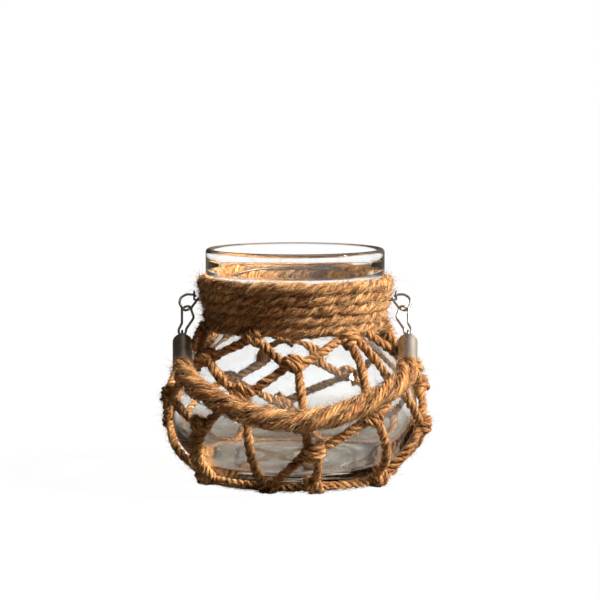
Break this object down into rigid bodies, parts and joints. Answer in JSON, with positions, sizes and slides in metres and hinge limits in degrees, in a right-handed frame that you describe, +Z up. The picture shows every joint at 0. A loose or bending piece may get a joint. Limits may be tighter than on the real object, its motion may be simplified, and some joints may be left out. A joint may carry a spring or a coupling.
{
  "type": "glass jar lantern",
  "caption": "Squat round clear glass jar in a knotted cord net, with a rope-wrapped neck and a rope handle that swings on wire clips.",
  "frame": {"origin": "middle of the jar's base, on the surface it stands on", "axes": "+Z up along the jar's axis; -Y is the front, where the handle hangs; +X is to the right"},
  "size_m": [0.1305, 0.1433, 0.114],
  "materials": {
    "clear_glass": "clear, polished",
    "wrap_jute": "coarse twisted jute rope with loose fibres",
    "net_jute": "twisted jute cord with loose fibres",
    "handle_jute": "thick three-strand jute rope with loose fibres",
    "ferrule_steel": "satin",
    "clip_steel": "darkened wire",
    "dark_steel": "darkened wire"
  },
  "bodies": {
    "jar": {"glass_jar": "clear_glass", "neck_wire": "dark_steel", "neck_wrap_rope": "wrap_jute", "net_cord_01": "net_jute", "net_cord_02": "net_jute", "net_cord_03": "net_jute", "net_cord_04": "net_jute", "net_cord_05": "net_jute", "net_cord_06": "net_jute", "net_cord_07": "net_jute", "net_cord_08": "net_jute", "net_cord_09": "net_jute", "net_cord_10": "net_jute", "net_cord_11": "net_jute", "net_cord_12": "net_jute", "net_cord_13": "net_jute", "net_cord_14": "net_jute", "foot_ring_cord": "net_jute", "left_neck_eye": "dark_steel", "right_neck_eye": "dark_steel"},
    "left_clip": {"left_clip": "clip_steel"},
    "right_clip": {"right_clip": "clip_steel"},
    "handle": {"handle_rope": "handle_jute", "left_ferrule": "ferrule_steel", "right_ferrule": "ferrule_steel", "left_ferrule_eye": "clip_steel", "right_ferrule_eye": "clip_steel"}
  },
  "joints": [
    {"name": "left_clip_swing", "type": "hinge", "parent": "jar", "child": "left_clip", "pos_m": [-0.0497, 0, 0.0906], "axis": [-1, 0, 0], "range_deg": [0, 284]},
    {"name": "right_clip_swing", "type": "hinge", "parent": "jar", "child": "right_clip", "pos_m": [0.0497, 0, 0.0906], "axis": [-1, 0, 0], "range_deg": [0, 284]},
    {"name": "handle_swing", "type": "hinge", "parent": "left_clip", "child": "handle", "pos_m": [-0.055, -0.01305, 0.07264], "axis": [-1, 0, 0], "range_deg": [-47.5, 0]}
  ],
  "couplings": [
    {"joint": "right_clip_swing", "follows": "left_clip_swing", "ratio": 1},
    {"joint": "handle_swing", "follows": "left_clip_swing", "ratio": -0.16667}
  ]
}
